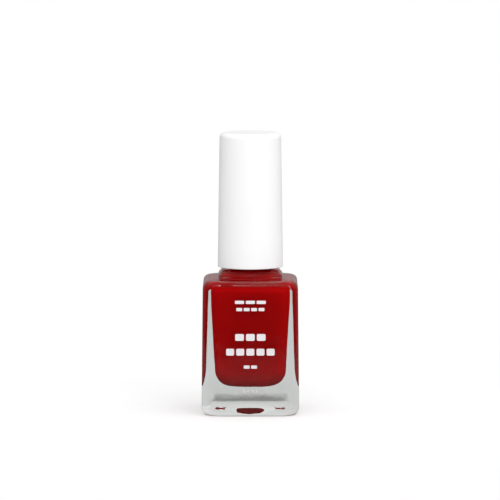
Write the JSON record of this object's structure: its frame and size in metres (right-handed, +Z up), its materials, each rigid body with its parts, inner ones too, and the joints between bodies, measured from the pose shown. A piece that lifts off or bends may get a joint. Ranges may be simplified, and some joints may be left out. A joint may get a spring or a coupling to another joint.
{
  "type": "nail polish bottle",
  "caption": "Square clear glass bottle full of red lacquer, with a tall white screw cap that carries a stem and brush on its underside.",
  "frame": {"origin": "middle of the foot, on the surface the bottle stands on", "axes": "+Z up along the neck and cap, -Y out of the front of the glass, +X to the right of the front"},
  "size_m": [0.027, 0.027, 0.078],
  "materials": {
    "clear_glass": "polished clear soda-lime glass",
    "red_lacquer": "wet opaque red nail lacquer",
    "white_cap": "matte white moulded plastic",
    "natural_polypropylene": "satin off-white polypropylene",
    "liner_foam": "soft white polyethylene foam",
    "stem_plastic": "smooth off-white plastic, wet with lacquer below the neck",
    "staple_metal": "bright flat wire",
    "bristles": "black nylon filaments, coated with red lacquer",
    "ball_steel": "polished stainless steel"
  },
  "bodies": {
    "bottle": {"glass_bottle": "clear_glass", "polish": "red_lacquer"},
    "seal": {"sealing_liner": "liner_foam"},
    "carrier": {"brush_staple": "staple_metal"},
    "cap": {"overcap": "white_cap", "inner_cap": "natural_polypropylene", "brush_stem": "stem_plastic", "bristle_tuft": "bristles"},
    "ball_1": {"mixing_ball_1": "ball_steel"},
    "ball_2": {"mixing_ball_2": "ball_steel"}
  },
  "joints": [
    {"name": "cap_lift_off", "type": "slide", "parent": "bottle", "child": "seal", "axis": [0, 0, 1], "range_m": [0, 0.06]},
    {"name": "cap_rise", "type": "slide", "parent": "seal", "child": "carrier", "axis": [0, 0, 1], "range_m": [0, 0.00318]},
    {"name": "cap_turn", "type": "hinge", "parent": "carrier", "child": "cap", "pos_m": [0, 0, 0.047], "axis": [0, 0, 1], "range_deg": [0, 540]},
    {"name": "ball_1_roll", "type": "hinge", "parent": "bottle", "child": "ball_1", "pos_m": [0, 0, 0.0373], "axis": [0, -1, 0], "range_deg": [0, 5.5]},
    {"name": "ball_2_roll", "type": "hinge", "parent": "bottle", "child": "ball_2", "pos_m": [0, 0, 0.0373], "axis": [0, 1, 0], "range_deg": [0, 5.5]}
  ],
  "couplings": [
    {"joint": "cap_rise", "follows": "cap_turn", "m_per_rad": 0.00033688}
  ]
}
